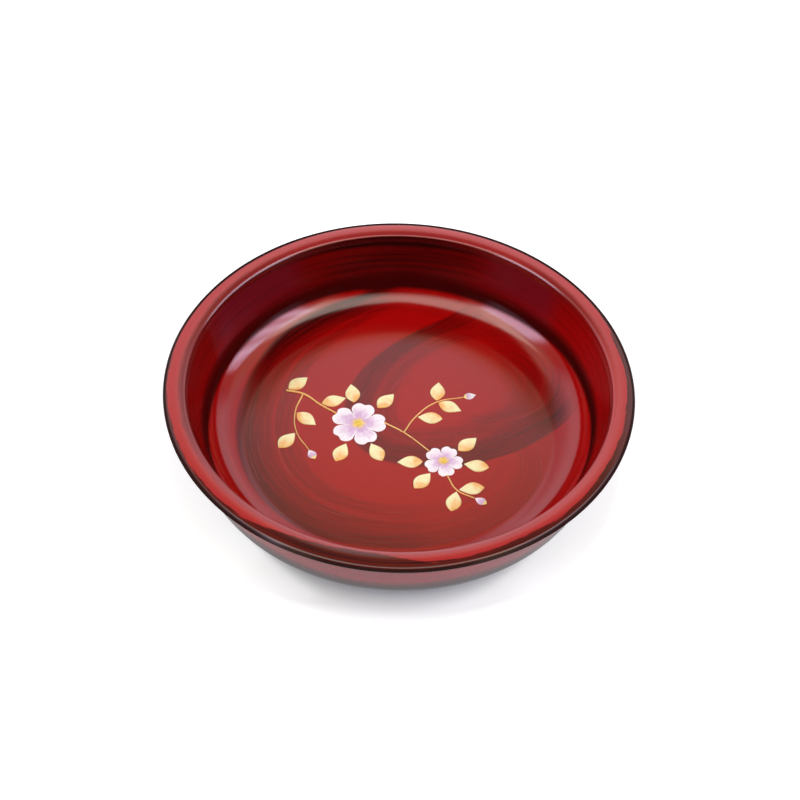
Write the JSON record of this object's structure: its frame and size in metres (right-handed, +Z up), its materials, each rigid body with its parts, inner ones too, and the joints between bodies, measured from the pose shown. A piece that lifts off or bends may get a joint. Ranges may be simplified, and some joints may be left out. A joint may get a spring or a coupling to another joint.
{
  "type": "confectionery bowl",
  "caption": "Shallow round lacquered bowl with a flat crowned rim, leaning wall, flat floor and low foot ring, for serving sweets at the table.",
  "frame": {"origin": "centre of the foot ring's underside, on the surface the bowl stands on", "axes": "+Z up along the bowl's turning axis; the spray is seen upright from -Y, with +X to the right"},
  "size_m": [0.24, 0.24, 0.055],
  "materials": {
    "turned_wood": "turned wood core, hidden under lacquer",
    "red_lacquer": "glossy red lacquer brushed in swirls over a dark ground",
    "brown_lacquer": "glossy dark red-brown lacquer",
    "black_lacquer": "satin black lacquer",
    "gold_powder": "pale gold powder set in raised lacquer",
    "petal_lacquer": "lilac-white pigmented lacquer",
    "pollen_lacquer": "yellow pigmented lacquer"
  },
  "bodies": {
    "root": {"bowl_body": "turned_wood", "rim_hoop": "red_lacquer", "foot_ring": "brown_lacquer", "interior_lacquer": "red_lacquer", "exterior_lacquer": "brown_lacquer", "base_lacquer": "black_lacquer", "blossom_large": "petal_lacquer", "blossom_small": "petal_lacquer", "bud_hanging": "petal_lacquer", "bud_rising": "petal_lacquer", "bud_tail": "petal_lacquer", "gold_branch": "gold_powder", "gold_leaf_01": "gold_powder", "gold_leaf_02": "gold_powder", "gold_leaf_03": "gold_powder", "gold_leaf_04": "gold_powder", "gold_leaf_05": "gold_powder", "gold_leaf_06": "gold_powder", "gold_leaf_07": "gold_powder", "gold_leaf_08": "gold_powder", "gold_leaf_09": "gold_powder", "gold_leaf_10": "gold_powder", "gold_leaf_11": "gold_powder", "gold_leaf_12": "gold_powder", "gold_leaf_13": "gold_powder", "gold_leaf_14": "gold_powder", "gold_leaf_15": "gold_powder", "gold_leaf_16": "gold_powder", "gold_leaf_17": "gold_powder", "gold_twig_hanging": "gold_powder", "gold_twig_middle": "gold_powder", "gold_twig_rising": "gold_powder", "gold_twig_tail": "gold_powder", "stamen_large": "pollen_lacquer", "stamen_small": "pollen_lacquer"}
  },
  "joints": []
}
